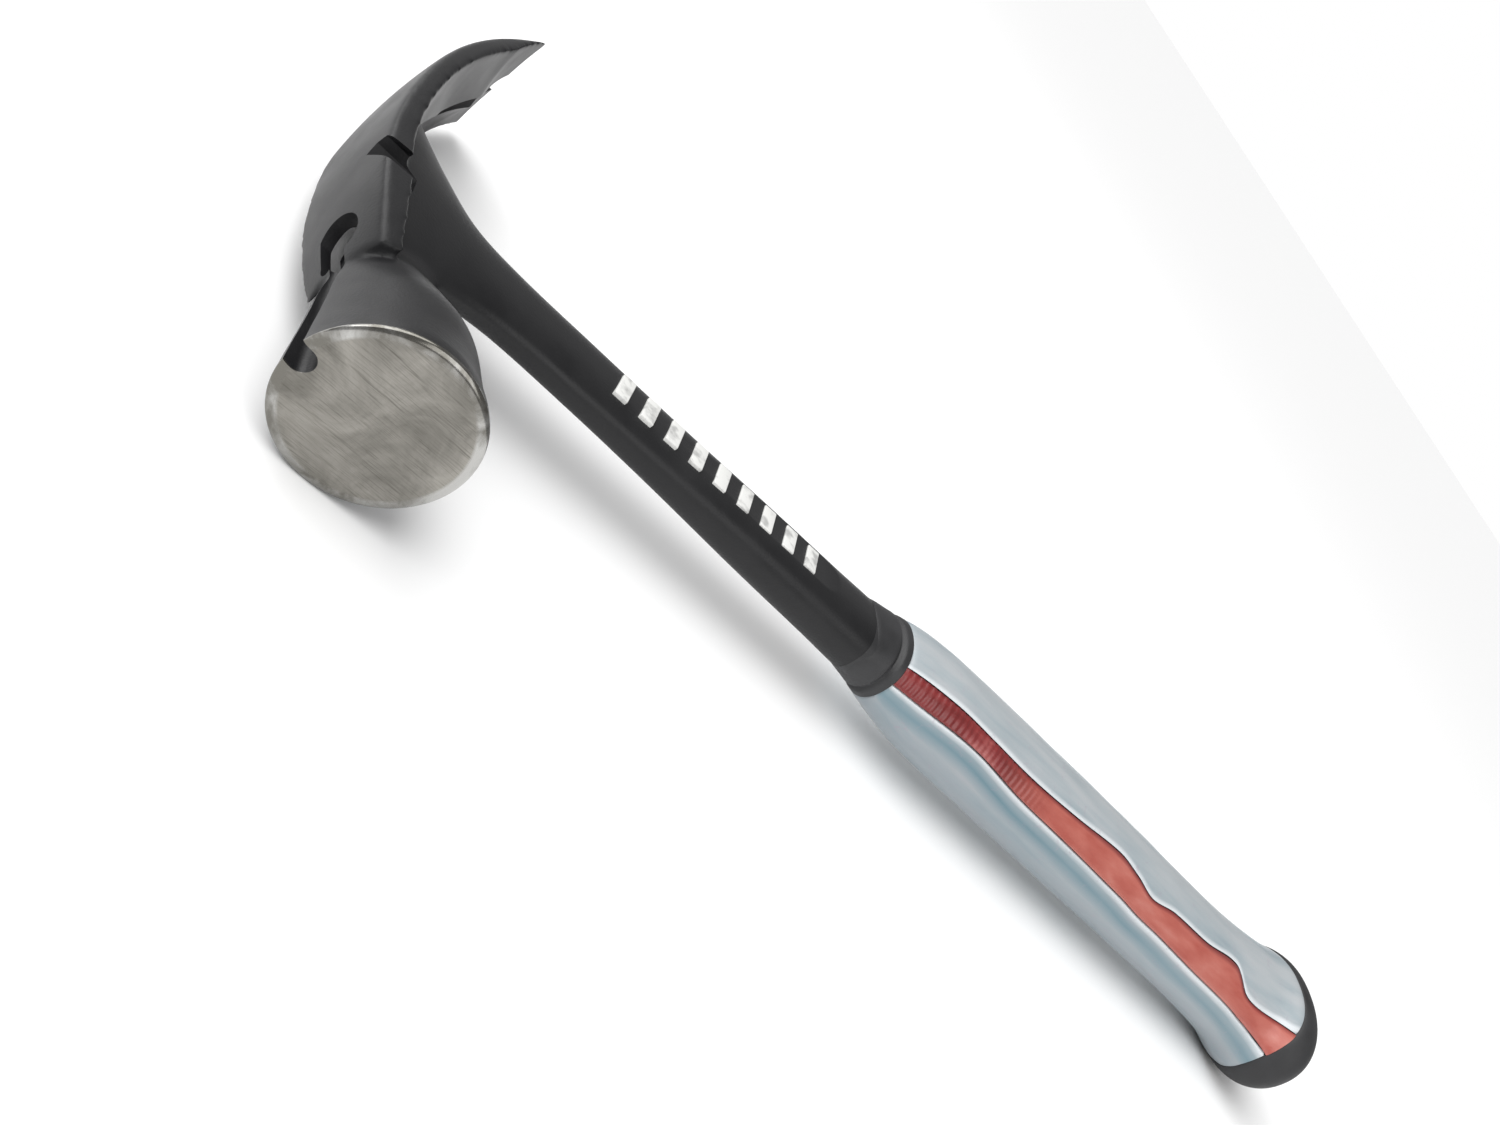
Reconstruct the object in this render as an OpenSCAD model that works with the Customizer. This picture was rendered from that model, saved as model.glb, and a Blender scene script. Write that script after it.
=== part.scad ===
// Framing hammer: one steel forging with a rip claw, and a moulded two-colour grip on its tang.
// It lies on its far cheek. +X runs from the butt to the top of the head, +Y towards the striking
// face, and +Z towards the cheek that has the side nail slot. Millimetres.

/* [Head] */
// Radius of the striking face over its bevel
face_r = 18.1; // [16:0.1:20]
// Width of the ground bevel round the face
face_bevel = 2.3; // [1:0.1:3]
// Reach of the striking face from the shank's axis
face_reach = 65.6; // [58:0.1:72]
// Half-width of the poll's neck, across the head
neck_w = 7.2; // [6:0.1:9]
// Reach of the claw tips behind the shank's axis
claw_reach = 90.4; // [75:0.5:95]
// Radius of the claw's curve, seen from the side
claw_r = 154; // [140:1:200]
// Height of the head's top edge over the poll's axis
top_h = 18.4; // [17:0.1:20]
// Distance of the top's highest point in front of the shank's axis (negative: behind it)
top_y = -2; // [-5:1:10]
// How far the middle of the crowned top stands over that edge
top_crown = 1.5; // [0.4:0.1:2]
// Half-width of the claw at its tips
claw_tip_w = 16.1; // [14:0.1:17]
// Half-width of the head at the side slot
cheek_w = 12.2; // [11:0.1:13]
// Height of the head's cheeks, beside the poll
cheek_t = 5.8; // [5:0.1:7]
// Thickness of the claw's prongs at their outer edges
claw_t = 4.1; // [3.5:0.1:5]
// Extra thickness of the claw along its middle
claw_belly = 3; // [2:0.1:4]
// Length of the bevel under the tips
tip_bevel = 18; // [12:1:20]

/* [Nail slots] */
// Length of the slot between the claw's prongs
slot_len = 42.4; // [35:1:46]
// Width of that slot at the tips
slot_w = 5.8; // [4:0.1:8]
// Width of that slot at its closed end
slot_end_w = 1.8; // [1:0.1:2.5]
// Depth of the side nail slot
side_slot_d = 6.6; // [5:0.1:9]
// Distance in front of the shank's axis at which the side nail slot's mouth ends
side_slot_y = 12.6; // [10:0.1:15]
// Width of the nail-starting groove at the striking face
groove_w = 5; // [4:0.1:7]
// Width of that groove at the pocket
groove_neck_w = 3.6; // [3:0.1:7]
// Height of that groove's floor over the poll's axis
groove_floor = 13.4; // [12.5:0.1:15]
// Radius of the pocket that holds the nail's head
pocket_r = 5.2; // [4.5:0.1:6]
// Distance of that pocket in front of the shank's axis
pocket_y = 26.6; // [24:0.1:29]
// Height of the pocket's floor over the poll's axis
pocket_floor = 12.2; // [11.5:0.1:13.5]
// Radius of the nail magnet
magnet_r = 4; // [3:0.1:4.5]
// Thickness of the nail magnet
magnet_t = 4; // [2:0.5:5]

/* [Handle] */
// Length from the poll's axis to the butt
handle_len = 359.5; // [358:0.5:372]
// Distance from the poll's axis to the front of the collar
collar_at = 138; // [135:1:150]
// Length of the collar
collar_len = 12; // [10:1:18]
// Length of the butt cap
cap_len = 23.5; // [22:0.5:32]
// Thickness of the grip's coloured outer layer
sleeve_t = 1.6; // [1.2:0.1:2.2]
// How far the tang stops short of the butt
tang_short = 36; // [34:1:60]
// Number of raised bars on the shank
mark_count = 9; // [5:1:10]

/* [Hidden] */
$fn = 96;
far = 60;                                   // past every wall of the head
rim_t = 1.0;                                // how far the bevel and the rim each run back
flare_end = face_reach - 3 * rim_t;         // where the poll's flare meets its rim
plate_end = 35;                             // front end of the head's top plate
sleeve_at = collar_at + collar_len;
cap_at = handle_len - cap_len;
tang_end = handle_len - tang_short;
ring_n = 32;                                // sides of each handle section
mark_tilt = 1.05;                           // slope of the shank's marked flat, in degrees
mark_mid = 83;                              // the marked flat's middle, down the handle
mark_z = 5.8;                               // its height over the handle's middle plane
mark_h = 0.5;                               // how far the bars stand up from it
mark_pitch = 7.8;                           // and how far apart they are
dome_n = 12;                                // rings of the butt cap's dome
groove_at = sleeve_at - 3;                  // ring groove round the collar
collar_steps = concat(steps(collar_at, groove_at - 1.2, 5), groove_at, groove_at + 1.2, sleeve_at);

// Sections down the handle: distance below the poll's axis, half-depth (Y), half-thickness (Z),
// and how far the section's middle lies towards the face
shank = [[-15, 35, 9, -2.4], [-9, 28.4, 8, -1.6], [-2, 21, 6.8, -0.9], [8, 13.9, 5.6, 0.7], [22, 10.8, 4.9, 0.2],
    [45, 10.2, 5, -0.2], [70, 10, 5.6, -0.2], [100, 10, 6.7, 0], [125, 10.2, 7.2, 0], [142, 10.6, 7.5, 0],
    [165, 9.5, 6.5, 0], [250, 8.2, 5.4, 0.2], [handle_len - tang_short, 6.5, 4.6, 0.8]];
grip = [[138, 11.4, 8.4, -0.2], [144, 11.8, 9.3, -0.4], [150, 12.4, 10.6, -0.5], [158, 13.6, 12, -0.3], [170, 14.9, 13.1, 0.3],
    [200, 15.6, 13.5, 0.4], [250, 15.9, 13.8, 0.4], [295, 15.9, 13.8, 1.3], [312, 16.5, 14.3, 1.2],
    [330, 18.2, 15.7, 1.3], [342, 22.8, 17.8, 2.8], [350, 24, 18, 1.4], [handle_len, 24.6, 18, -0.2]];
// Angles of the red inlay's lower and upper edges round the grip, from the face side towards the
// near cheek, at distances down the handle
inlay = [[150, 13, 44], [158, 17, 47], [170, 24, 50], [182, 26, 49], [200, 21, 47], [220, 20, 50], [242, 18, 56],
    [252, 17, 50], [261, 15, 42], [272, 15, 49], [290, 13, 51], [306, 12, 57], [314, 11, 37], [320, 9, 33],
    [328, 7, 36], [336, 6, 44]];

// Sections along the poll's axis: distance in front of the shank's axis, half-height, half-width,
// and how far the section's middle lies above the axis
poll_table = [[8, 8.5, 3, 4], [20, 9, neck_w - 3.6, 4.2], [25, 9.8, neck_w - 2, 4.1], [30, 11.1, neck_w + 0.5, 3.4],
    [35, 12.6, 10.1, 2.5], [40, 14.1, 12.4, 1.8], [44, 15.1, 14.1, 1.2], [48, 15.7, 15.1, 0.8],
    [55, 16.6, 16.2, 0.5], [60, 17.3, 17.2, 0.3], [flare_end, face_r - 0.3, face_r - 0.3, 0]];
// Sections along the top plate and the claw: distance in front of the shank's axis, half-width,
// thickness at the outer edges, and how far the crowned top falls at those edges
plate_table = [[-claw_reach, claw_tip_w, claw_t, 0.8], [-55, claw_tip_w - 0.2, claw_t, 1.2],
    [-38, claw_tip_w - 1, claw_t, 1.1], [-25, 13.9, claw_t + 0.1, 1], [-13, 12.9, claw_t + 0.4, 0.9],
    [0, cheek_w, claw_t + 0.9, 0.9], [11, cheek_w, cheek_t, 1], [22, cheek_w - 0.3, cheek_t - 0.6, 1.5],
    [33, 10.8, claw_t, 2.1], [plate_end, 10.2, claw_t - 0.1, 2.3]];

// Smooth curve through a table's column c at distance u down the handle
function slope(t, i, c) = let (a = max(i - 1, 0), b = min(i + 1, len(t) - 1))
    (t[b][c] - t[a][c]) / (t[b][0] - t[a][0]);
function span(t, u, i = 0) = i >= len(t) - 2 || u < t[i + 1][0] ? i : span(t, u, i + 1);
function curve(t, u, c) = let (i = span(t, u), h = t[i + 1][0] - t[i][0], k = (u - t[i][0]) / h)
    (2 * k * k * k - 3 * k * k + 1) * t[i][c] + (k * k * k - 2 * k * k + k) * h * slope(t, i, c)
    + (3 * k * k - 2 * k * k * k) * t[i + 1][c] + (k * k * k - k * k) * h * slope(t, i + 1, c);
// A point of a rounded section: half-depth a, half-thickness b, squareness e, at angle g
function soft(v, e) = sign(v) * pow(abs(v), 2 / e);
function rim_point(u, a, b, m, e, g) = [-u, m + a * soft(cos(g), e), b * soft(sin(g), e)];
// the shank is lens-shaped where it meets the head, and squarer further down
function shank_e(u) = let (k = min(max((u + 8) / 45, 0), 1)) 1.9 + 0.7 * k * k * (3 - 2 * k);
function shank_point(u, g) =
    rim_point(u, curve(shank, u, 1), curve(shank, u, 2), curve(shank, u, 3), shank_e(u), g);
function grip_point(u, g, off = 0) =
    rim_point(u, curve(grip, u, 1) - off, curve(grip, u, 2) - off, curve(grip, u, 3), 2.2, g);
function steps(a, b, n) = [for (i = [0 : n]) a + (b - a) * i / n];
ring_angles = [for (i = [0 : ring_n - 1]) 360 * i / ring_n];
function shank_ring(u) = [for (g = ring_angles) shank_point(u, g)];
function grip_ring(u, off) = [for (g = ring_angles) grip_point(u, g, off)];

// A closed solid through a list of rings, each with the same number of points. A strip's rings run
// out along one face and back along the other, so its ends are closed with four-sided faces
module loft(rings, strip = false) {
    n = len(rings[0]);
    last = len(rings) - 1;
    end = strip ? [for (i = [0 : n / 2 - 2]) [n - 1 - i, n - 2 - i, i + 1, i]]
        : [[for (i = [n - 1 : -1 : 0]) i]];
    polyhedron(points = [for (r = rings) each r], faces = concat(end,
        [for (r = [0 : last - 1], i = [0 : n - 1]) let (j = (i + 1) % n)
            each [[r * n + i, (r + 1) * n + j, (r + 1) * n + i], [r * n + i, r * n + j, (r + 1) * n + j]]],
        [for (f = end) [for (i = [len(f) - 1 : -1 : 0]) last * n + f[i]]]), convexity = 6);
}

// The row frame: middle of the length and depth, and the far side of the poll on the floor
module placed() {
    translate([(handle_len - top_h - top_crown) / 2, (claw_reach - face_reach) / 2, face_r]) children();
}

// Outline seen from above the head (Y, Z), pulled through its whole height
module from_above(low = -far) {
    translate([low, 0, 0]) rotate([90, 0, 90]) linear_extrude(2 * far) children();
}

// The poll flares from a narrow oval neck to the round rim, and its end is bevelled
function poll_ring(y, h, w, m) =
    [for (g = steps(0, 360, 2 * ring_n)) if (g < 360) [m + h * cos(g), y, w * sin(g)]];
module poll() loft(concat(
    [for (y = concat(steps(8, 26, 5), steps(28, flare_end, 16)))
        poll_ring(y, curve(poll_table, y, 1), curve(poll_table, y, 2), curve(poll_table, y, 3))],
    [for (p = [[flare_end + 0.3, 0], [face_reach - rim_t, 0], [face_reach, face_bevel]])
        poll_ring(p[0], face_r - p[1], face_r - p[1], 0)]));

// The head's top plate and both prongs: a crowned section that follows the claw's curve
function plate_point(a, r, z) = [top_h - claw_r + r * cos(a), top_y + r * sin(a), z];
function plate_ring(y) = let (r = claw_r + top_crown, a = asin((y - top_y) / r), w = curve(plate_table, y, 1),
    fall = curve(plate_table, y, 3), edge = r - fall - curve(plate_table, y, 2)) concat(
    [for (z = steps(-w, w, 12)) plate_point(a, r - fall * pow(z / w, 2), z)],
    [for (k = [1, 0, -1]) plate_point(a, edge - claw_belly * (1 - abs(k)), k * w)]);
module top_and_claw() loft([for (y = steps(-claw_reach, plate_end, 30)) plate_ring(y)]);

// What the grinding takes off: the tips' bevel and the nail slots
module claw_cuts() {
    tip_x = top_h - claw_r + sqrt(claw_r * claw_r - pow(claw_reach + top_y, 2));
    // bevel under the tips
    linear_extrude(2 * far, center = true) polygon([
        [tip_x - 0.7, -claw_reach - 3], [tip_x + 4.4, tip_bevel - claw_reach],
        [tip_x - 14, tip_bevel - claw_reach + 9], [tip_x - 30, -claw_reach - 3]]);
    // slot between the prongs
    from_above() {
        polygon([[-claw_reach - 3, slot_w / 2 + 0.1], [slot_len - claw_reach, slot_end_w / 2],
            [slot_len - claw_reach, -slot_end_w / 2], [-claw_reach - 3, -slot_w / 2 - 0.1]]);
        translate([slot_len - claw_reach, 0]) circle(slot_end_w / 2);
    }
    // side nail slot, in the near cheek only
    from_above(9.5) polygon([[side_slot_y - 7.4, cheek_w - side_slot_d], [side_slot_y - 9.6, cheek_w - 4.2],
        [side_slot_y - 10, cheek_w - 2], [side_slot_y - 8, cheek_w + 0.4], [side_slot_y - 8, cheek_w + 3],
        [side_slot_y + 3, cheek_w + 3], [side_slot_y, cheek_w]]);
}

module groove_end(y, r) translate([0, y, 0]) rotate([-90, 0, 0]) linear_extrude(0.1) hull() {
    translate([groove_floor + r, 0]) circle(r);
    translate([far, 0]) square([0.1, 2 * r], center = true);
}

module groove_and_pocket() {
    // nail-starting groove along the top of the poll, round-floored and widening towards the face
    hull() {
        groove_end(pocket_y, groove_neck_w / 2);
        groove_end(face_reach + 1, groove_w / 2);
    }
    // pocket for the nail's head, at the groove's rear end, drawn out towards the groove
    translate([pocket_floor, pocket_y, 0]) hull() {
        rotate([0, 90, 0]) cylinder(r = pocket_r, h = far);
        translate([0, 5.8, -2.8]) rotate([0, 90, 0]) cylinder(r = pocket_r / 3, h = far);
    }
}

module magnet_space() {
    translate([pocket_floor - magnet_t + 0.6, pocket_y, 0]) rotate([0, 90, 0])
        cylinder(r = magnet_r, h = magnet_t);
}

// The flat on the shank's near side, tilted with its taper, and the bars that stand on it
module mark_plane() { translate([-mark_mid, 0, mark_z]) rotate([0, mark_tilt, 0]) children(); }

module forging() color([0.13, 0.13, 0.14]) placed() difference() {
    union() {
        poll();
        top_and_claw();
        loft([for (u = concat(steps(-13, 30, 14), steps(36, 140, 13), steps(150, tang_end, 10)))
            shank_ring(u)]);
    }
    claw_cuts();
    groove_and_pocket();
    magnet_space();
    mark_plane() translate([-40, -far, 0]) cube([80, 2 * far, far]);
}

module nail_magnet() color([0.25, 0.25, 0.27]) placed() magnet_space();

module shank_marks() color([0.85, 0.85, 0.83]) placed() mark_plane()
    for (i = [0 : mark_count - 1]) translate([(i - (mark_count - 1) / 2) * mark_pitch, 0.4, 0])
        linear_extrude(mark_h) polygon([[-3.2, -4.8], [0.6, -4.8], [3.2, 4.8], [-0.6, 4.8]]);

// The black layer moulded straight on to the tang, closed over the tang's end
module grip_core() color([0.07, 0.07, 0.08]) placed() difference() {
    loft([for (u = steps(sleeve_at, cap_at, 14)) grip_ring(u, sleeve_t)]);
    loft([for (u = concat(sleeve_at - 10, steps(150, tang_end, 10))) shank_ring(u)]);
}

module front_collar() color([0.06, 0.06, 0.07]) placed() difference() {
    loft([for (u = collar_steps) grip_ring(u, abs(u - groove_at) < 1 ? 1.2 : 0.4)]);
    loft([for (u = steps(collar_at - 2, sleeve_at + 2, 9)) shank_ring(u)]);
}

// A strip of the coloured layer between two angles round the grip
module layer(from, to, n) loft([for (u = steps(sleeve_at, cap_at, 30)) let (a = from(u), b = to(u)) concat(
    [for (g = steps(a, b, n)) grip_point(u, g)],
    [for (g = steps(b, a, n)) grip_point(u, g, sleeve_t)])], strip = true);

module grip_sleeve() color([0.68, 0.72, 0.77]) placed()
    layer(function (u) curve(inlay, u, 2), function (u) curve(inlay, u, 1) + 360, 27);

module grip_inlay() color([0.80, 0.36, 0.30]) placed()
    layer(function (u) curve(inlay, u, 1), function (u) curve(inlay, u, 2), 5);

module butt_cap() color([0.06, 0.06, 0.07]) placed() loft([for (i = [0 : dome_n]) let (
    k = sin(90 * i / dome_n), u = cap_at + cap_len * k, s = sqrt(max(1 - pow(k, 3.6), 0.02)))
    [for (g = ring_angles)
        rim_point(u, s * curve(grip, u, 1), s * curve(grip, u, 2), curve(grip, u, 3), 2.2, g)]]);

forging();
nail_magnet();
shank_marks();
grip_core();
front_collar();
grip_sleeve();
grip_inlay();
butt_cap();
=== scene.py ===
import math
import bmesh
import bpy
from mathutils import Matrix, Vector, noise


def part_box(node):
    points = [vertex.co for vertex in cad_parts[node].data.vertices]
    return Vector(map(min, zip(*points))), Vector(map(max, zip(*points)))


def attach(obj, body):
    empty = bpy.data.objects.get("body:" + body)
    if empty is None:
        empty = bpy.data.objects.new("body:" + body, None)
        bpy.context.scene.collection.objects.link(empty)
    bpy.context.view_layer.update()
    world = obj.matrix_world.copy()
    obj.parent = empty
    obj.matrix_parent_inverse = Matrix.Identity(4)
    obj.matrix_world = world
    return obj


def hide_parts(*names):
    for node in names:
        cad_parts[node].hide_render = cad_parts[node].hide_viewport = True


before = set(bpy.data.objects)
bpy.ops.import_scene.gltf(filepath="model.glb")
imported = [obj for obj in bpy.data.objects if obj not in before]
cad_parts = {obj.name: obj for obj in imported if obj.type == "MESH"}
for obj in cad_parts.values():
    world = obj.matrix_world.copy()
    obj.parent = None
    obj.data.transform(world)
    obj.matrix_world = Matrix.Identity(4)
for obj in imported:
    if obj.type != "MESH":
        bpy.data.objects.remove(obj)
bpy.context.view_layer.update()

# Shapes are worked out in millimetres from the point where the poll's axis meets the shank's axis:
# x up the handle, y towards the striking face, z towards the near cheek. toRow puts it in the frame.
head = {
    "topHeight": 19.9, "faceReach": 65.6, "faceRadius": 18.1, "faceBevel": 2.3, "rimBack": 1.0,
    "clawReach": 90.4, "clawRadius": 154.0, "topMiddle": -2.0, "belly": 3.0, "bellyPower": 1.3,
    "tipBevel": 18.0, "tipShare": 0.16, "tipSpare": 3, "plateEnd": 35.0, "pollBack": 8,
}
shank = {"lens": 1.9, "square": 2.6, "squareFrom": -8, "squareOver": 45, "tangShort": 36}
grip = {
    "squareness": 2.2, "capRoundness": 3.6, "capEdge": 5.5, "capLead": 0.5, "capFade": 40,
    "layer": 1.6, "wrinkle": 0.2, "ribs": 2.1, "ribDepth": 0.22, "ribsEnd": 203,
    "seam": 0.5, "seamWidth": 0.6, "sleeveSunk": 0.2, "inlaySunk": 0.22, "rim": 0.14, "unevenness": 0.1,
}
low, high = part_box("forging")
origin = Vector((high.x - head["topHeight"] / 1000, high.y - head["faceReach"] / 1000, (low.z + high.z) / 2))
toRow = Matrix.Translation(origin) @ Matrix.Scale(0.001, 4)
handleLength = (origin.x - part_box("butt_cap")[0].x) * 1000
sleeveStart = (origin.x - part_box("grip_sleeve")[1].x) * 1000
sleeveEnd = (origin.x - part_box("grip_sleeve")[0].x) * 1000
collarStart = (origin.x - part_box("front_collar")[1].x) * 1000
print("frame read: handle", round(handleLength, 1), "mm, sleeve from", round(sleeveStart, 1),
      "to", round(sleeveEnd, 1))

# Sections down the handle: distance, half-depth, half-thickness, shift of the middle towards the face
shankSections = [
    (-15, 35, 9, -2.4), (-9, 28.4, 8, -1.6), (-2, 21, 6.8, -0.9), (8, 13.9, 5.6, 0.7), (22, 10.8, 4.9, 0.2),
    (45, 10.2, 5, -0.2), (70, 10, 5.6, -0.2), (100, 10, 6.7, 0), (125, 10.2, 7.2, 0), (142, 10.6, 7.5, 0),
    (165, 9.5, 6.5, 0), (250, 8.2, 5.4, 0.2), (handleLength - shank["tangShort"], 6.5, 4.6, 0.8)]
# Sections along the poll: distance towards the face, half-height, half-width, rise of the middle
pollSections = [
    (8, 8.5, 3, 4), (20, 9, 3.6, 4.2), (25, 9.8, 5.2, 4.1), (30, 11.1, 7.7, 3.4), (35, 12.6, 10.1, 2.5),
    (40, 14.1, 12.4, 1.8), (44, 15.1, 14.1, 1.2), (48, 15.7, 15.1, 0.8), (55, 16.6, 16.2, 0.5),
    (60, 17.3, 17.2, 0.3), (62.6, 17.8, 17.8, 0), (68, 18.4, 18.4, 0)]
# Sections along the claw and top plate: distance towards the face, half-width, edge thickness, crown
plateSections = [
    (-94, 16.1, 4.1, 0.8), (-55, 15.9, 4.1, 1.2), (-38, 15.1, 4.1, 1.1), (-25, 13.9, 4.2, 1),
    (-13, 12.9, 4.5, 0.9), (0, 12.2, 5, 0.9), (11, 12.2, 5.8, 1), (22, 11.9, 5.2, 1.5),
    (33, 10.8, 4.1, 2.1), (36, 10.2, 4, 2.3)]
# Sections of the grip, given in the way that the shank's are
gripSections = [
    (138, 11.4, 8.4, -0.2), (144, 11.8, 9.3, -0.4), (150, 12.4, 10.6, -0.5), (158, 13.6, 12, -0.3),
    (170, 14.9, 13.1, 0.3), (200, 15.6, 13.5, 0.4), (250, 15.9, 13.8, 0.4), (295, 15.9, 13.8, 1.3),
    (312, 16.5, 14.3, 1.2), (330, 18.2, 15.7, 1.3), (342, 22.8, 17.8, 2.8), (350, 24, 18, 1.4),
    (handleLength, 24.6, 18, -0.2)]
# The red strip's lower and upper edges down the handle, in degrees round the grip from the face side
inlayEdges = [
    (150, 13, 44), (158, 17, 47), (170, 24, 50), (182, 26, 49), (200, 21, 47), (220, 20, 50),
    (242, 18, 56), (252, 17, 50), (261, 15, 42), (272, 15, 49), (290, 13, 51), (306, 12, 57),
    (314, 11, 37), (320, 9, 33), (328, 7, 36), (336, 6, 44)]


def follow(table, u):        # smooth curve through a table's rows
    i = 0
    while i < len(table) - 2 and u >= table[i + 1][0]:
        i += 1

    def slope(j):
        a, b = table[max(j - 1, 0)], table[min(j + 1, len(table) - 1)]
        return [(q - p) / (b[0] - a[0]) for p, q in zip(a[1:], b[1:])]
    here, there = table[i], table[i + 1]
    h = there[0] - here[0]
    k = (u - here[0]) / h
    weights = 2 * k**3 - 3 * k * k + 1, (k**3 - 2 * k * k + k) * h, 3 * k * k - 2 * k**3, (k**3 - k * k) * h
    rows = zip(here[1:], slope(i), there[1:], slope(i + 1))
    return [sum(w * v for w, v in zip(weights, row)) for row in rows]


def soft(value, power):
    return math.copysign(abs(value) ** (2 / power), value)


def ringPoint(u, a, b, middle, power, angle):
    return Vector((-u, middle + a * soft(math.cos(angle), power), b * soft(math.sin(angle), power)))


def shankPoint(u, angle):        # lens-shaped where it meets the head, squarer further down
    a, b, middle = follow(shankSections, u)
    k = min(max((u - shank["squareFrom"]) / shank["squareOver"], 0), 1)
    power = shank["lens"] + (shank["square"] - shank["lens"]) * k * k * (3 - 2 * k)
    return ringPoint(u, a, b, middle, power, angle)


def gripPoint(u, angle, inset=0.0):        # rounded off over the butt cap's length
    a, b, middle = follow(gripSections, u)
    k = max((u - sleeveEnd) / (handleLength - sleeveEnd), 0)
    size = math.sqrt(max(1 - k ** grip["capRoundness"], 0))
    return ringPoint(u, (a - inset) * size, (b - inset) * size, middle, grip["squareness"], angle)


mergeDistance = 0.0005


def tube(along, around, pointAt, closed=True):        # a grid rolled up round a path, with its ends filled
    bm = bmesh.new()
    bmesh.ops.create_grid(bm, x_segments=along, y_segments=around, size=1)
    for v in bm.verts:
        v.co = pointAt((v.co.x + 1) / 2, (v.co.y + 1) / 2)
    bmesh.ops.remove_doubles(bm, verts=bm.verts, dist=mergeDistance)
    if closed:
        bmesh.ops.holes_fill(bm, edges=[e for e in bm.edges if e.is_boundary], sides=0)
    bmesh.ops.recalc_face_normals(bm, faces=bm.faces)
    return bm


def lathe(profile, steps):        # profile of (radius, y), spun round the poll's axis
    bm = bmesh.new()
    verts = [bm.verts.new((r, y, 0)) for r, y in profile]
    edges = [bm.edges.new(pair) for pair in zip(verts, verts[1:])]
    bmesh.ops.spin(bm, geom=verts + edges, cent=(0, 0, 0), axis=(0, 1, 0), angle=2 * math.pi, steps=steps,
                   use_merge=True)
    bmesh.ops.remove_doubles(bm, verts=bm.verts, dist=mergeDistance)
    bmesh.ops.recalc_face_normals(bm, faces=bm.faces)
    return bm


def pulled(bm, points, shift):        # a face through the points, pulled out by shift
    face = bm.faces.new([bm.verts.new(point) for point in points])
    grown = bmesh.ops.extrude_face_region(bm, geom=[face])["geom"]
    bmesh.ops.translate(bm, verts=[g for g in grown if isinstance(g, bmesh.types.BMVert)], vec=shift)


def fromAbove(outline, low, high=40):        # an outline in y and z, pulled up from low to high
    bm = bmesh.new()
    pulled(bm, [(low, p, q) for p, q in outline], (high - low, 0, 0))
    bmesh.ops.recalc_face_normals(bm, faces=bm.faces)
    return bm


def scratch(bm, name):        # a working object, still in millimetres
    mesh = bpy.data.meshes.new(name)
    bm.to_mesh(mesh)
    bm.free()
    obj = bpy.data.objects.new(name, mesh)
    bpy.context.scene.collection.objects.link(obj)
    return obj


def applied(obj):        # the object with its modifiers made real
    bpy.context.view_layer.update()
    graph = bpy.context.evaluated_depsgraph_get()
    mesh = bpy.data.meshes.new_from_object(obj.evaluated_get(graph))
    obj.modifiers.clear()
    obj.data = mesh
    return obj


def joined(parts, name):
    bm = bmesh.new()
    for part in parts:
        bm.from_mesh(part.data)
        bpy.data.objects.remove(part)
    return scratch(bm, name)


def carve(obj, cutters):
    for cutter in cutters:
        cut = obj.modifiers.new("cut", "BOOLEAN")
        cut.operation = "DIFFERENCE"
        cut.solver = "MANIFOLD"
        cut.object = cutter
    applied(obj)
    for cutter in cutters:
        bpy.data.objects.remove(cutter)
    return obj


# Sharp edges are marked, more readily beside the large faces that a cut leaves, and the piece goes into
# the frame
def finishPiece(obj, name, material, sharpAngle=60, cutAngle=24, cutArea=1.5):
    obj.name = obj.data.name = name
    bm = bmesh.new()
    bm.from_mesh(obj.data)
    for face in bm.faces:
        face.smooth = True
    for edge in bm.edges:
        cutFace = any(face.calc_area() > cutArea for face in edge.link_faces)        # a wall left by a cut
        limit = math.radians(cutAngle if cutFace else sharpAngle)
        edge.smooth = len(edge.link_faces) != 2 or edge.calc_face_angle(0) < limit
    bm.to_mesh(obj.data)
    bm.free()
    obj.data.transform(toRow)
    obj.data.materials.clear()
    obj.data.materials.append(material)
    return obj


# materials
def nodeTree(name):        # a new material with its Principled shader linked up
    mat = bpy.data.materials.new(name)
    mat.use_nodes = True
    tree = mat.node_tree
    tree.nodes.clear()
    out = tree.nodes.new("ShaderNodeOutputMaterial")
    bsdf = tree.nodes.new("ShaderNodeBsdfPrincipled")
    tree.links.new(bsdf.outputs[0], out.inputs[0])
    return mat, tree, bsdf


def add(tree, kind, **values):        # a node with its properties and inputs set by name
    node = tree.nodes.new("ShaderNode" + kind)
    for key, value in values.items():
        if hasattr(node, key) and key not in node.inputs:
            setattr(node, key, value)
        else:
            node.inputs[key].default_value = value
    return node


def ramp(tree, source, stops):        # colour stops, or grey ones given by a single number
    node = tree.nodes.new("ShaderNodeValToRGB")
    while len(node.color_ramp.elements) < len(stops):
        node.color_ramp.elements.new(0.5)
    for element, (position, color) in zip(node.color_ramp.elements, stops):
        element.position = position
        element.color = (*color, 1) if len(color) == 3 else (color[0],) * 3 + (1,)
    tree.links.new(source, node.inputs[0])
    return node.outputs[0]


def mixColor(tree, factor, a, b):
    node = tree.nodes.new("ShaderNodeMix")
    node.data_type = "RGBA"
    for socket, value in ((node.inputs[0], factor), (node.inputs[6], a), (node.inputs[7], b)):
        if isinstance(value, bpy.types.NodeSocket):
            tree.links.new(value, socket)
        else:
            socket.default_value = (*value, 1) if isinstance(value, tuple) else value
    return node.outputs[2]


def mathNode(tree, operation, a, b=0.0, c=0.0):
    node = tree.nodes.new("ShaderNodeMath")
    node.operation = operation
    for socket, value in zip(node.inputs, (a, b, c)):
        if isinstance(value, bpy.types.NodeSocket):
            tree.links.new(value, socket)
        else:
            socket.default_value = value
    return node.outputs[0]


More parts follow.
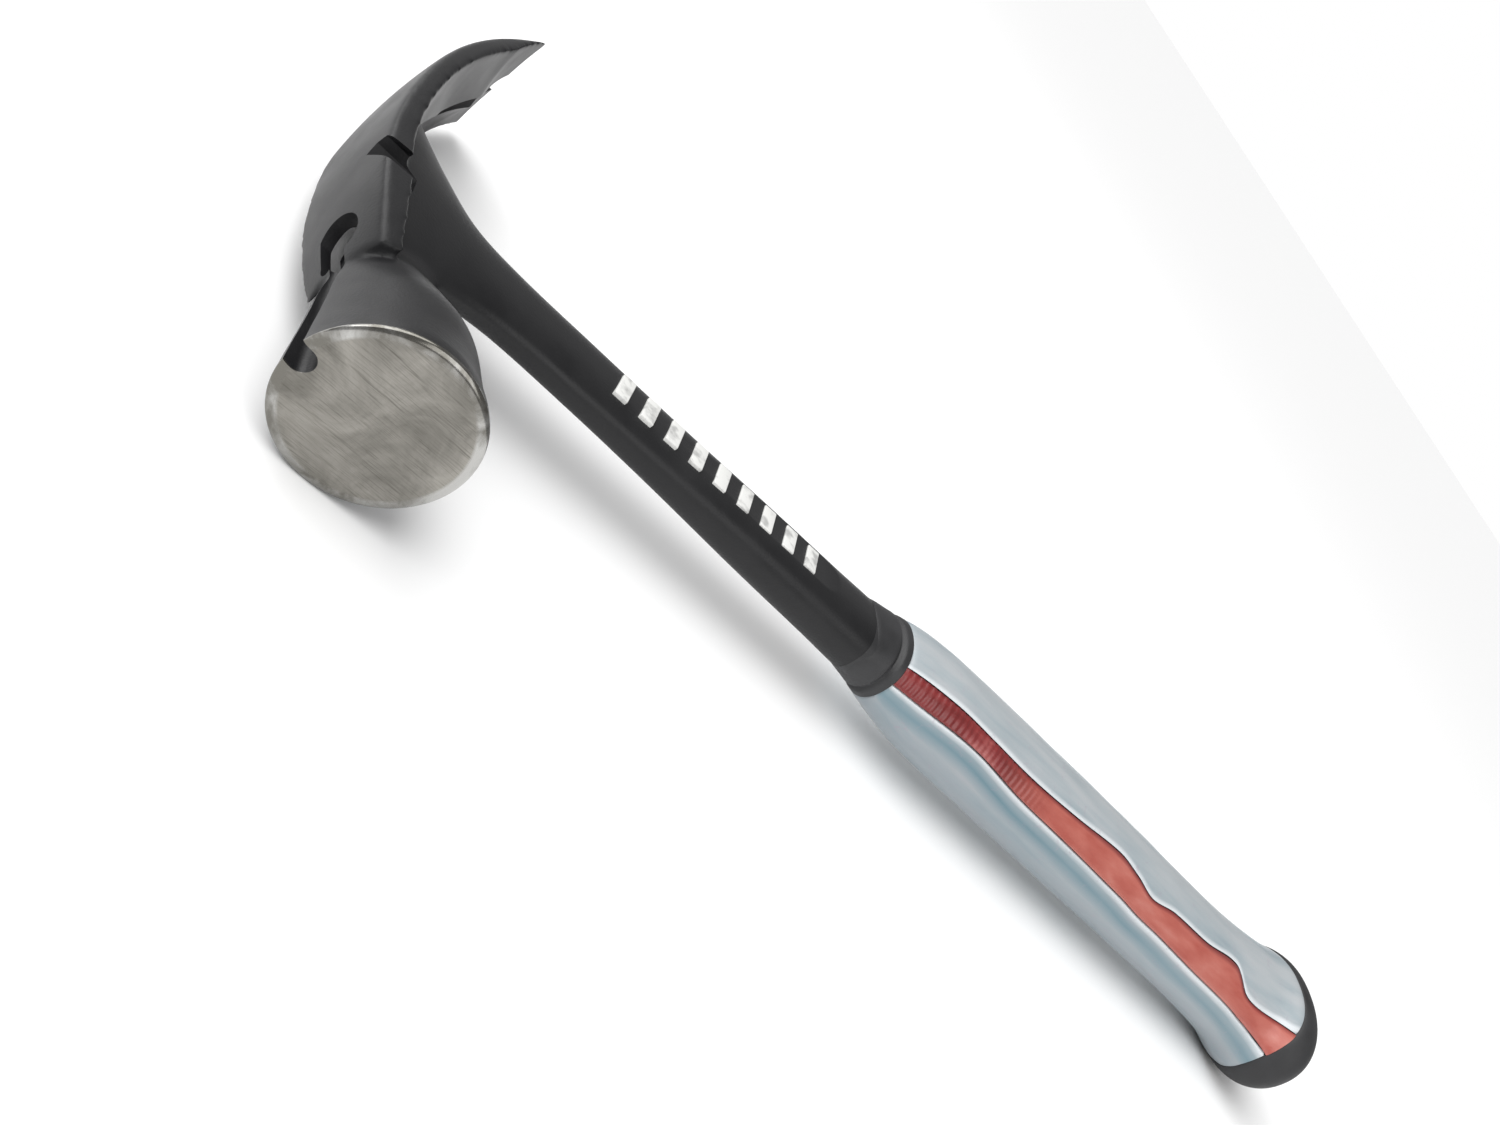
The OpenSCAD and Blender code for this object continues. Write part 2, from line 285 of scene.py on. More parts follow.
def newGroup(name, inputs, outputs):
    group = bpy.data.node_groups.new(name, "ShaderNodeTree")
    for label, default in inputs:
        socket = group.interface.new_socket(label, in_out="INPUT", socket_type="NodeSocketFloat")
        socket.default_value = default
    for label in outputs:
        group.interface.new_socket(label, in_out="OUTPUT", socket_type="NodeSocketFloat")
    return group, group.nodes.new("NodeGroupInput"), group.nodes.new("NodeGroupOutput")


def buildSpeckle():        # fine grain and broad mottling, both in Object coordinates
    inputs = [("Fine Scale", 2500.0), ("Broad Scale", 60.0), ("Stretch", 1.0)]
    group, given, result = newGroup("speckle", inputs, ["Fine", "Broad"])
    coords = group.nodes.new("ShaderNodeTexCoord")
    spread = group.nodes.new("ShaderNodeVectorMath")
    spread.operation = "MULTIPLY"
    group.links.new(coords.outputs["Object"], spread.inputs[0])
    along = group.nodes.new("ShaderNodeCombineXYZ")
    along.inputs[1].default_value = along.inputs[2].default_value = 1
    group.links.new(given.outputs["Stretch"], along.inputs[0])
    group.links.new(along.outputs[0], spread.inputs[1])
    for label, detail in (("Fine", 2.0), ("Broad", 5.0)):
        cloud = group.nodes.new("ShaderNodeTexNoise")
        cloud.inputs["Detail"].default_value = detail
        group.links.new(spread.outputs[0], cloud.inputs["Vector"])
        group.links.new(given.outputs[label + " Scale"], cloud.inputs["Scale"])
        group.links.new(cloud.outputs["Fac"], result.inputs[label])
    return group


speckle = buildSpeckle()


def speckled(tree, fine, broad, stretch=1.0):
    node = tree.nodes.new("ShaderNodeGroup")
    node.node_tree = speckle
    for value, socket in zip((fine, broad, stretch), node.inputs):
        socket.default_value = value
    return node.outputs["Fine"], node.outputs["Broad"]


def bump(tree, bsdf, height, distance, strength):
    node = tree.nodes.new("ShaderNodeBump")
    node.inputs["Distance"].default_value = distance
    node.inputs["Strength"].default_value = strength
    tree.links.new(height, node.inputs["Height"])
    tree.links.new(node.outputs[0], bsdf.inputs["Normal"])


def objectAxes(tree):        # Object coordinates, whole and split
    coords = tree.nodes.new("ShaderNodeTexCoord")
    split = tree.nodes.new("ShaderNodeSeparateXYZ")
    tree.links.new(coords.outputs["Object"], split.inputs[0])
    return coords.outputs["Object"], split.outputs


def clamped(tree, value):
    node = tree.nodes.new("ShaderNodeClamp")
    tree.links.new(value, node.inputs[0])
    return node.outputs[0]


coat = {
    "dark": (0.008, 0.008, 0.009), "light": (0.015, 0.015, 0.016), "roughness": (0.34, 0.48),
    "specular": 0.32,
}
steel = {
    "light": (0.345, 0.33, 0.30), "dark": (0.175, 0.168, 0.15), "score": (0.10, 0.095, 0.08),
    "polished": (0.48, 0.475, 0.46), "roughness": (0.3, 0.5), "bevelRoughness": 0.17, "metallic": 0.96,
    "fineTurn": 38, "fineScale": (160, 40, 4500), "deepTurn": 33, "deepScale": (45, 30, 700),
    "bevelLimit": 1.2, "edgeLift": 0.22, "edgeSharpness": 9000.0, "bevelSharpness": 4.0,
}


def grindingMarks(tree, coords, turn, scale, detail, roughness):        # noise drawn out along one direction
    mapping = add(tree, "Mapping")
    mapping.inputs["Rotation"].default_value = (0, math.radians(turn), 0)
    mapping.inputs["Scale"].default_value = scale
    tree.links.new(coords, mapping.inputs["Vector"])
    marks = add(tree, "TexNoise", Scale=1.0, Detail=detail, Roughness=roughness)
    tree.links.new(mapping.outputs[0], marks.inputs["Vector"])
    return marks.outputs["Fac"]


def forgingMaterial():        # satin black coat, and bare ground steel on the striking face
    mat, tree, bsdf = nodeTree("blackCoatAndGroundFace")
    fine, broad = speckled(tree, 1900, 70)
    coords, axes = objectAxes(tree)
    reach, radius, bevel, back = head["faceReach"], head["faceRadius"], head["faceBevel"], head["rimBack"]
    # the distance from the poll's axis says how far down the bevel the bare steel starts
    x = mathNode(tree, "SUBTRACT", axes[0], origin.x)
    z = mathNode(tree, "SUBTRACT", axes[2], origin.z)
    squares = mathNode(tree, "ADD", mathNode(tree, "MULTIPLY", x, x), mathNode(tree, "MULTIPLY", z, z))
    out = mathNode(tree, "SQRT", squares)
    onBevel = mathNode(tree, "MULTIPLY_ADD", out, 1000 / bevel, 1 - radius / bevel)
    onBevel = mathNode(tree, "MINIMUM", mathNode(tree, "MAXIMUM", onBevel, 0.0), steel["bevelLimit"])
    edgeY = mathNode(tree, "MULTIPLY_ADD", mathNode(tree, "MULTIPLY", onBevel, onBevel), -back / 1000,
                     origin.y + (reach - steel["edgeLift"]) / 1000)
    past = mathNode(tree, "SUBTRACT", axes[1], edgeY)
    bareMask = clamped(tree, mathNode(tree, "MULTIPLY", past, steel["edgeSharpness"]))
    bevelMask = clamped(tree, mathNode(tree, "MULTIPLY", onBevel, steel["bevelSharpness"]))
    # grinding marks run diagonally over the face, a few of them deep
    scratches = grindingMarks(tree, coords, steel["fineTurn"], steel["fineScale"], 4.0, 0.65)
    scores = grindingMarks(tree, coords, steel["deepTurn"], steel["deepScale"], 3.0, 0.7)
    cloud = add(tree, "TexNoise", Scale=85.0, Detail=7.0, Roughness=0.62, Distortion=0.6)
    tree.links.new(coords, cloud.inputs["Vector"])
    coatColor = ramp(tree, broad, [(0.3, coat["dark"]), (0.7, coat["light"])])
    steelColor = ramp(tree, cloud.outputs["Fac"], [(0.32, steel["dark"]), (0.66, steel["light"])])
    fineMask = ramp(tree, scratches, [(0.5, (0.0,)), (0.74, (0.6,))])
    deepMask = ramp(tree, scores, [(0.62, (0.0,)), (0.7, (0.55,))])
    streaked = mixColor(tree, fineMask, steelColor, steel["score"])
    streaked = mixColor(tree, deepMask, streaked, steel["score"])
    worn = ramp(tree, cloud.outputs["Fac"], [(0.4, steel["dark"]), (0.6, steel["polished"])])
    steelColor = mixColor(tree, bevelMask, streaked, worn)
    tree.links.new(mixColor(tree, bareMask, coatColor, steelColor), bsdf.inputs["Base Color"])
    tree.links.new(mathNode(tree, "MULTIPLY", bareMask, steel["metallic"]), bsdf.inputs["Metallic"])
    coatRough = ramp(tree, broad, [(0.3, (coat["roughness"][0],)), (0.7, (coat["roughness"][1],))])
    steelRough = ramp(tree, scratches, [(0.35, (steel["roughness"][0],)), (0.7, (steel["roughness"][1],))])
    steelRough = mixColor(tree, bevelMask, steelRough, (steel["bevelRoughness"],) * 3)
    tree.links.new(mixColor(tree, bareMask, coatRough, steelRough), bsdf.inputs["Roughness"])
    grain = mathNode(tree, "MULTIPLY", fine, mathNode(tree, "SUBTRACT", 1.0, bareMask))
    flatBare = mathNode(tree, "MULTIPLY", bareMask, mathNode(tree, "SUBTRACT", 1.0, bevelMask))
    cuts = mathNode(tree, "MULTIPLY", scratches, mathNode(tree, "MULTIPLY", flatBare, 0.4))
    bsdf.inputs["Specular IOR Level"].default_value = coat["specular"]
    bump(tree, bsdf, mathNode(tree, "ADD", grain, cuts), 0.00006, 0.7)
    return mat


rubber = {"color": (0.012, 0.012, 0.013), "collarRoughness": 0.5, "capRoughness": 0.62, "coreRoughness": 0.7}


def rubberMaterial(name, roughness):        # matt moulded rubber, faintly mottled
    mat, tree, bsdf = nodeTree(name)
    color = rubber["color"]
    fine, broad = speckled(tree, 2600, 90)
    pale = tuple(c * 2.2 + 0.004 for c in color)
    tree.links.new(ramp(tree, broad, [(0.3, color), (0.75, pale)]), bsdf.inputs["Base Color"])
    tree.links.new(ramp(tree, broad, [(0.3, (roughness - 0.1,)), (0.7, (roughness + 0.08,))]),
                   bsdf.inputs["Roughness"])
    bump(tree, bsdf, fine, 0.00008, 0.6)
    return mat


def magnetMaterial():
    mat, tree, bsdf = nodeTree("magnetPaintedShade")
    fine, broad = speckled(tree, 1500, 300)
    # near black: the magnet's own dark colour, darkened further as painted shade of the deep pocket it sits
    # in
    tree.links.new(ramp(tree, broad, [(0.3, (0.004, 0.004, 0.004)), (0.7, (0.010, 0.010, 0.011))]),
                   bsdf.inputs["Base Color"])
    tree.links.new(ramp(tree, fine, [(0.3, (0.6,)), (0.7, (0.8,))]), bsdf.inputs["Roughness"])
    bsdf.inputs["Specular IOR Level"].default_value = 0.15
    return mat


def whitePaintMaterial():
    mat, tree, bsdf = nodeTree("whitePaint")
    fine, broad = speckled(tree, 2200, 260)
    tree.links.new(ramp(tree, broad, [(0.34, (0.42, 0.42, 0.41)), (0.5, (0.72, 0.72, 0.7))]),
                   bsdf.inputs["Base Color"])
    tree.links.new(ramp(tree, fine, [(0.3, (0.5,)), (0.7, (0.7,))]), bsdf.inputs["Roughness"])
    bump(tree, bsdf, fine, 0.00005, 0.5)
    return mat


gloss = {"weight": 0.3, "roughness": 0.2}        # the clear skin of both grip colours
# Two of these are painted light: the upper colour is a painted highlight making the grip's upper side paler,
# and the lower colour is painted shade on its underside. The clouds, teal, border and lilac are the film's
# own colours.
sleeveColors = {
    "clouds": [(0.25, (0.20, 0.27, 0.31)), (0.42, (0.27, 0.335, 0.365)), (0.55, (0.33, 0.375, 0.40)),
               (0.68, (0.40, 0.42, 0.44)), (0.82, (0.47, 0.45, 0.48))],
    "teal": (0.105, 0.205, 0.25), "upper": (0.40, 0.425, 0.44), "lower": (0.235, 0.27, 0.30),
    "border": (0.62, 0.65, 0.67), "lilac": (0.33, 0.27, 0.33),
}
# Bands along the strip: side of it, middle and half-width in degrees, weight, colour
# The wide band past the strip's upper edge is a painted highlight, and the wide band under its lower edge is
# painted shade. The teal band and the pale borders are print.
sleeveBands = [
    ("pastStrip", 38.0, 55.0, 0.75, "upper"), ("underStrip", 48.0, 46.0, 0.6, "lower"),
    ("underStrip", 17.0, 12.0, 0.8, "teal"), ("underStrip", 2.0, 7.0, 1.2, "border"),
    ("pastStrip", 1.0, 5.0, 1.2, "border")]


def sleeveMaterial():        # pale grey-blue, with a light line, then a teal band, next to the red
    mat, tree, bsdf = nodeTree("paleGrip")
    fine, broad = speckled(tree, 1500, 230, 0.12)
    coords = objectAxes(tree)[0]
    base = ramp(tree, broad, sleeveColors["clouds"])
    for side, centre, width, weight, color in sleeveBands:
        degrees = add(tree, "Attribute", attribute_name=side).outputs["Fac"]
        offset = mathNode(tree, "ABSOLUTE", mathNode(tree, "SUBTRACT", degrees, centre))
        mask = clamped(tree, mathNode(tree, "SUBTRACT", 1.0, mathNode(tree, "DIVIDE", offset, width)))
        wavy = mathNode(tree, "MULTIPLY", mask, mathNode(tree, "MULTIPLY_ADD", broad, 1.4, 0.3))
        factor = clamped(tree, mathNode(tree, "MULTIPLY", wavy, weight))
        base = mixColor(tree, factor, base, sleeveColors[color])
    # faint lilac flecks, as in a printed film
    flecks = add(tree, "TexNoise", Scale=330.0, Detail=5.0, Roughness=0.7, Distortion=1.2)
    tree.links.new(coords, flecks.inputs["Vector"])
    fleckMask = ramp(tree, flecks.outputs["Fac"], [(0.58, (0.0,)), (0.72, (0.45,))])
    tree.links.new(mixColor(tree, fleckMask, base, sleeveColors["lilac"]), bsdf.inputs["Base Color"])
    tree.links.new(ramp(tree, broad, [(0.3, (0.28,)), (0.7, (0.44,))]), bsdf.inputs["Roughness"])
    bsdf.inputs["Coat Weight"].default_value = gloss["weight"]
    bsdf.inputs["Coat Roughness"].default_value = gloss["roughness"]
    bump(tree, bsdf, mathNode(tree, "ADD", fine, mathNode(tree, "MULTIPLY", broad, 1.5)), 0.00012, 0.5)
    return mat


inlayColors = {
    "salmon": [(0.3, (0.37, 0.075, 0.055)), (0.55, (0.45, 0.125, 0.095)), (0.75, (0.52, 0.20, 0.165))],
    "deep": [(0.3, (0.13, 0.006, 0.006)), (0.55, (0.20, 0.016, 0.016)), (0.75, (0.42, 0.12, 0.11))],
    "line": (0.13, 0.006, 0.009), "deepTo": 0.188, "salmonFrom": 0.212,
}


def inlayMaterial():        # deep red by the collar, salmon red further down, a dark line along the wavy edge
    mat, tree, bsdf = nodeTree("redGrip")
    fine, broad = speckled(tree, 1800, 220, 0.3)
    axes = objectAxes(tree)[1]
    down = mathNode(tree, "SUBTRACT", origin.x, axes[0])
    salmon = ramp(tree, broad, inlayColors["salmon"])
    deep = ramp(tree, broad, inlayColors["deep"])
    blend = tree.nodes.new("ShaderNodeMapRange")
    tree.links.new(down, blend.inputs["Value"])
    blend.inputs["From Min"].default_value = inlayColors["deepTo"]
    blend.inputs["From Max"].default_value = inlayColors["salmonFrom"]
    color = mixColor(tree, blend.outputs[0], deep, salmon)
    across = add(tree, "Attribute", attribute_name="across")
    line = ramp(tree, across.outputs["Fac"], [(0.8, (0.0,)), (0.93, (0.85,))])
    color = mixColor(tree, line, color, inlayColors["line"])
    tree.links.new(color, bsdf.inputs["Base Color"])
    tree.links.new(ramp(tree, broad, [(0.3, (0.3,)), (0.7, (0.45,))]), bsdf.inputs["Roughness"])
    bsdf.inputs["Coat Weight"].default_value = gloss["weight"]
    bsdf.inputs["Coat Roughness"].default_value = gloss["roughness"]
    bump(tree, bsdf, fine, 0.0001, 0.5)
    return mat


# the forging: head, claw, shank and tang
forgingDetail = {"voxel": 0.5, "smoothing": 12, "shankTop": -13, "tangFrom": 148.0, "tangLap": 1}
# the near side of the shank is ground flat under the bars
flat = {"middle": 83.0, "height": 5.8, "tilt": 1.05, "run": 36.0, "fade": 7.0, "reach": 60}
slots = {
    "length": 42.4, "width": 5.8, "endWidth": 1.8,
    "sideEnd": 12.6, "cheek": 12.2,        # the side slot's outline is measured from there
    "sideOutline": [(-7.4, -6.6), (-9.6, -4.2), (-10, -2), (-8, 0.4), (-8, 3), (3, 3), (0, 0)],
    "sideFloor": 9.5,
    "grooveWidth": 5.0, "grooveNeck": 3.6, "grooveFloor": 13.4, "grooveTop": 30,
    "pocketRadius": 5.2, "pocketY": 26.6, "pocketFloor": 12.2, "pocketTail": (5.8, -2.8),
    "past": 1, "clear": 9,        # how far the cutters go past what they cut
}


def pollPoint(s, t):
    y = head["pollBack"] + s * (head["faceReach"] + slots["past"] - head["pollBack"])
    tall, wide, rise = follow(pollSections, y)
    angle = 2 * math.pi * t
    return Vector((rise + tall * math.cos(angle), y, wide * math.sin(angle)))


def platePoint(s, t):        # s along the claw from the tips, t round its section
    spare = head["tipSpare"]        # the tips are cut square afterwards
    y = -head["clawReach"] - spare + s * (head["clawReach"] + spare + head["plateEnd"])
    angle = math.asin((y - head["topMiddle"]) / head["clawRadius"])
    half, edge, crown = follow(plateSections, y)
    radius = head["clawRadius"]
    if t < 0.5:        # top, far side to near side
        z = -1 + 4 * t
        radius -= crown * z * z
    else:              # underside, near side to far side
        z = 3 - 4 * t
        share = head["tipShare"]
        tipThin = max(0.1, min(1.0, share + (1 - share) * (y + head["clawReach"]) / head["tipBevel"]))
        middle = (crown + head["belly"]) * (1 - abs(z)) ** head["bellyPower"]
        radius -= crown * z * z + (edge + middle) * tipThin
    centre = head["topHeight"] - head["clawRadius"]
    return Vector((centre + radius * math.cos(angle), head["topMiddle"] + radius * math.sin(angle), z * half))


def flattened(co):        # pressed down to the flat, which fades out at its ends
    along = -co.x - flat["middle"]
    limit = flat["height"] + math.tan(math.radians(flat["tilt"])) * along
    beyond = max(abs(along) - flat["run"], 0) / flat["fade"]
    limit += beyond * beyond
    if abs(along) < flat["reach"] and co.z > limit:
        return Vector((co.x, co.y, limit))
    return co


def shankTube(along, around, start, end):
    return tube(along, around, lambda s, t: shankPoint(start + s * (end - start), 2 * math.pi * t))


def buildForging():
    plate = scratch(tube(150, 56, platePoint), "plate")
    poll = scratch(tube(80, 96, pollPoint), "poll")
    upper = scratch(shankTube(180, 72, forgingDetail["shankTop"], forgingDetail["tangFrom"]), "shank")
    forging = joined([poll, plate, upper], "forging")
    remesh = forging.modifiers.new("remesh", "REMESH")
    remesh.mode = "VOXEL"
    remesh.voxel_size = forgingDetail["voxel"]
    applied(forging)
    bm = bmesh.new()
    bm.from_mesh(forging.data)
    for _ in range(forgingDetail["smoothing"]):
        bmesh.ops.smooth_vert(bm, verts=bm.verts, factor=0.5,
                              use_axis_x=True, use_axis_y=True, use_axis_z=True)
    for v in bm.verts:
        v.co = flattened(v.co)
    bm.to_mesh(forging.data)
    bm.free()
    cutForging(forging)
    start = forgingDetail["tangFrom"] - forgingDetail["tangLap"]
    tang = scratch(shankTube(60, 48, start, handleLength - shank["tangShort"]), "tang")
    return joined([forging, tang], "forging")


def arcPoints(centre, radius, start, end, count):
    angles = [math.radians(start + (end - start) * i / (count - 1)) for i in range(count)]
    return [(centre[0] + radius * math.cos(a), centre[1] + radius * math.sin(a)) for a in angles]


def groovePoint(y, t):        # round floor from side to side, then straight walls up past the surface
    k = (y - slots["pocketY"]) / (head["faceReach"] + slots["past"] - slots["pocketY"])
    half = (slots["grooveNeck"] + (slots["grooveWidth"] - slots["grooveNeck"]) * k) / 2
    column = round(t * 40) % 40
    if column > 36:        # the last three columns run across the top
        return Vector((slots["grooveFloor"] + slots["grooveTop"], y, half * (38 - column)))
    angle = math.pi * column / 36
    return Vector((slots["grooveFloor"] + half * (1 - math.sin(angle)), y, -half * math.cos(angle)))


def cutForging(forging):
    reach, radius, bevel, back = head["faceReach"], head["faceRadius"], head["faceBevel"], head["rimBack"]
    past, clear = slots["past"], slots["clear"]
    # the ground end of the poll: everything outside this turned profile is taken off
    start = reach - 3 * back - 1.2
    profile = [(radius - 0.25, start), (radius, start + 1.4)]
    profile += [(radius - bevel * (1 - math.cos(a)), reach - back + back * math.sin(a))
                for a in [math.radians(15 * i) for i in range(7)]]
    outside = radius + clear
    profile += [(0, reach), (0, reach + clear), (outside, reach + clear), (outside, start), profile[0]]
    ringCutter = scratch(lathe(profile, 192), "ringCutter")
    # the claw: tips cut square, then the slot between the prongs
    tip, slotEnd = -head["clawReach"], slots["length"] - head["clawReach"]
    outline = [(tip, -40), (tip, 40), (tip - clear, 40), (tip - clear, -40)]
    tipCutter = scratch(fromAbove(outline, -60, 60), "tipCutter")
    half = slots["width"] / 2 + 0.1
    outline = arcPoints((slotEnd, 0), slots["endWidth"] / 2, 90, -90, 9)
    clawSlot = scratch(fromAbove([(tip - 4, half)] + outline + [(tip - 4, -half)], -40, 30), "clawSlot")
    outline = [(slots["sideEnd"] + p, slots["cheek"] + q) for p, q in slots["sideOutline"]]
    sideSlot = scratch(fromAbove(outline, slots["sideFloor"]), "sideSlot")
    # the nail-starting groove, and the pocket drawn out towards it
    y, r, (tailY, tailZ) = slots["pocketY"], slots["pocketRadius"], slots["pocketTail"]
    groove = scratch(tube(2, 40, lambda s, t: groovePoint(y + s * (reach + past - y), t)), "groove")
    outline = arcPoints((y, 0), r, 28, 242, 40) + arcPoints((y + tailY, tailZ), r / 3, 242, 388, 16)
    pocket = scratch(fromAbove(outline, slots["pocketFloor"]), "pocket")
    return carve(forging, [ringCutter, tipCutter, clawSlot, sideSlot, groove, pocket])


print("modelling the forging")
forging = finishPiece(buildForging(), "forgedHammer", forgingMaterial())
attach(forging, "root")
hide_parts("forging")


# nail magnet
magnet = {"radius": 4.0, "thick": 4.0, "proud": 0.6, "bevel": 0.35}


def buildMagnet():
    bm = bmesh.new()
    middle = slots["pocketFloor"] + magnet["proud"] - magnet["thick"] / 2
    place = Matrix.Translation((middle, slots["pocketY"], 0)) @ Matrix.Rotation(math.pi / 2, 4, "Y")
    bmesh.ops.create_cone(bm, cap_ends=True, segments=64, radius1=magnet["radius"], radius2=magnet["radius"],
                          depth=magnet["thick"], matrix=place)
    rims = [e for e in bm.edges if e.calc_face_angle(0) > 1]
    bmesh.ops.bevel(bm, geom=rims, offset=magnet["bevel"], affect="EDGES", segments=3, profile=0.5,
                    material=-1)
    return scratch(bm, "magnet")


print("adding the magnet and the bars")
nailMagnet = finishPiece(buildMagnet(), "nailMagnet", magnetMaterial())
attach(nailMagnet, "root")
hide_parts("nail_magnet")


# raised bars on the shank
bars = {
    "count": 9, "pitch": 7.8, "middle": 0.4, "proud": 0.45, "sunk": 0.6, "bevel": 0.22,
    "outline": [(-3.2, -4.8), (0.6, -4.8), (3.2, 4.8), (-0.6, 4.8)],
}


def buildBars():
    bm = bmesh.new()
    for i in range(bars["count"]):
        x = (i - (bars["count"] - 1) / 2) * bars["pitch"]
        points = [(x + p, q + bars["middle"], -bars["sunk"]) for p, q in bars["outline"]]
        pulled(bm, points, (0, 0, bars["sunk"] + bars["proud"]))
    bmesh.ops.recalc_face_normals(bm, faces=bm.faces)
    edges = [e for e in bm.edges if max(v.co.z for v in e.verts) > 0]
    bmesh.ops.bevel(bm, geom=edges, offset=bars["bevel"], affect="EDGES", segments=3, profile=0.5,
                    material=-1)
    tilt = Matrix.Rotation(math.radians(flat["tilt"]), 4, "Y")
    place = Matrix.Translation((-flat["middle"], 0, flat["height"])) @ tilt
    bmesh.ops.transform(bm, verts=bm.verts, matrix=place)
    return scratch(bm, "bars")


shankBars = finishPiece(buildBars(), "shankBars", whitePaintMaterial())
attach(shankBars, "root")
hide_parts("shank_marks")


# front collar
collar = {
    "inset": 0.35, "grooveBack": 3, "grooveDepth": 0.9, "grooveWidth": 0.7, "lipDepth": 0.7, "lipWidth": 0.8,
}


def collarPoint(s, t):        # s runs back along the outside, then forward along the shank
    out = s < 0.5
    k = 2 * s if out else 2 - 2 * s
    u = collarStart + k * (sleeveStart - collarStart)
    angle = 2 * math.pi * t
    if not out:
        return shankPoint(u, angle)
    groove = math.exp(-((u - sleeveStart + collar["grooveBack"]) / collar["grooveWidth"]) ** 2)
    lip = math.exp(-(u - collarStart) / collar["lipWidth"])
    return gripPoint(u, angle, collar["inset"] + collar["grooveDepth"] * groove + collar["lipDepth"] * lip)


def buildCollar():
    return scratch(tube(160, 128, collarPoint, closed=False), "collar")


# the coloured layer: pale sleeve and red strip
def capEdge(angle):        # the cap reaches further up the front and back than over the cheeks
    return grip["capEdge"] * math.sin(angle) ** 2 - grip["capLead"]


def stripPoint(s, t, fromAngle, toAngle, shape):        # t runs along the outer face, back along the inner
    u = sleeveStart + s * (sleeveEnd - sleeveStart)
    a, b = fromAngle(u), toAngle(u)
    late = min(max((u - sleeveEnd) / grip["capFade"] + 1, 0), 1)
    t = t if t < 0.999 else 0
    outside = t < 0.5
    k = 2 * t if outside else 2 - 2 * t
    angle = a + (b - a) * k
    inset = shape(u, angle, k) if outside else grip["layer"]
    return gripPoint(u + capEdge(angle) * late * late, angle, inset)


def edgeAngle(column):
    return lambda u: math.radians(follow(inlayEdges, u)[column])


lowerEdge, upperEdge = edgeAngle(0), edgeAngle(1)


def sleeveShape(u, angle, k):        # how far the pale surface lies under the grip's outline
    place = Vector((u * 0.045, math.cos(angle) * 1.7, math.sin(angle) * 1.7))
    crease = noise.noise(place) * 0.6 + noise.noise(place * 2.3) * 0.4
    lip = min(k, 1 - k) * 260
    rim = grip["rim"] * math.exp(-lip * 0.6)
    ends = 0.5 * math.exp(-(u - sleeveStart) / 0.7) + 0.4 * math.exp(-(sleeveEnd - u) / 0.7)
    return max(0.02, grip["sleeveSunk"] + grip["wrinkle"] * crease + rim + ends)


def inlayShape(u, angle, k):        # and the red one, ribbed near the collar
    ribbed = 1 / (1 + math.exp((u - grip["ribsEnd"]) / 3))
    rib = (0.5 + 0.5 * math.cos(2 * math.pi * (u - sleeveStart) / grip["ribs"])) * ribbed
    edge = 0.12 * math.exp(-k * 22) + 0.3 * math.exp((k - 1) * 10)
    uneven = grip["unevenness"] * noise.noise(Vector((u * 0.08, angle * 3, 0)))
    return grip["inlaySunk"] + grip["ribDepth"] * rib + edge + uneven


def buildStrip(fromAngle, toAngle, shape, along, around, name):
    return scratch(tube(along, around, lambda s, t: stripPoint(s, t, fromAngle, toAngle, shape)), name)


def angleOn(co):        # which way round the grip a point lies
    a, b, middle = follow(gripSections, min(max(-co.x, sleeveStart), sleeveEnd))
    y, z = (co.y - middle) / a, co.z / b
    return math.atan2(math.copysign(abs(z) ** 1.1, z), math.copysign(abs(y) ** 1.1, y))


def markAcross(strip, name, measure):        # a value across the strip, for its material
    across = strip.data.attributes.new(name, "FLOAT", "POINT")
    for v, item in zip(strip.data.vertices, across.data):
        item.value = measure(-v.co.x, angleOn(v.co))


def degreesOn(difference, slack=0.05):        # once round from a little below nought
    return math.degrees((difference + slack) % (2 * math.pi) - slack)


sleeve = buildStrip(upperEdge, lambda u: lowerEdge(u) + 2 * math.pi, sleeveShape, 220, 280, "sleeve")
markAcross(sleeve, "pastStrip", lambda u, angle: degreesOn(angle - upperEdge(u)))
markAcross(sleeve, "underStrip", lambda u, angle: degreesOn(lowerEdge(u) - angle))
gripSleeve = finishPiece(sleeve, "gripSleeve", sleeveMaterial(), 60, 60)
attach(gripSleeve, "root")
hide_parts("grip_sleeve")

inlay = buildStrip(lowerEdge, upperEdge, inlayShape, 520, 60, "inlay")
markAcross(inlay, "across", lambda u, angle: (angle - lowerEdge(u)) / (upperEdge(u) - lowerEdge(u)))
gripInlay = finishPiece(inlay, "gripInlay", inlayMaterial(), 60, 60)
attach(gripInlay, "root")
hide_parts("grip_inlay")

collarRubber = rubberMaterial("collarRubber", rubber["collarRoughness"])
frontCollar = finishPiece(buildCollar(), "frontCollar", collarRubber, 60, 60)
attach(frontCollar, "root")
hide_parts("front_collar")


# butt cap
def capPoint(s, t):
    angle = 2 * math.pi * t
    start = sleeveEnd + capEdge(angle)
    u = start + (handleLength - start) * math.sin(s * math.pi / 2)
    return gripPoint(u, angle, grip["seam"] * math.exp(-(u - start) / grip["seamWidth"]))


capRubber = rubberMaterial("capRubber", rubber["capRoughness"])
buttCap = finishPiece(scratch(tube(90, 144, capPoint), "cap"), "buttCap", capRubber, 60, 60)
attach(buttCap, "root")
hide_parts("butt_cap")

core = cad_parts["grip_core"]        # hidden under the coloured layer, so the CAD solid stays
core.data.materials.clear()
core.data.materials.append(rubberMaterial("coreRubber", rubber["coreRoughness"]))
print("grip built")

# floor, light and camera
studio = {
    "floor": 60.0, "key": 2.75, "spread": 70, "rim": 5.0, "fill": 4.0, "boxDistance": 1.2, "boxSize": 0.8,
    "world": 0.33, "backdrop": 1.0,
}


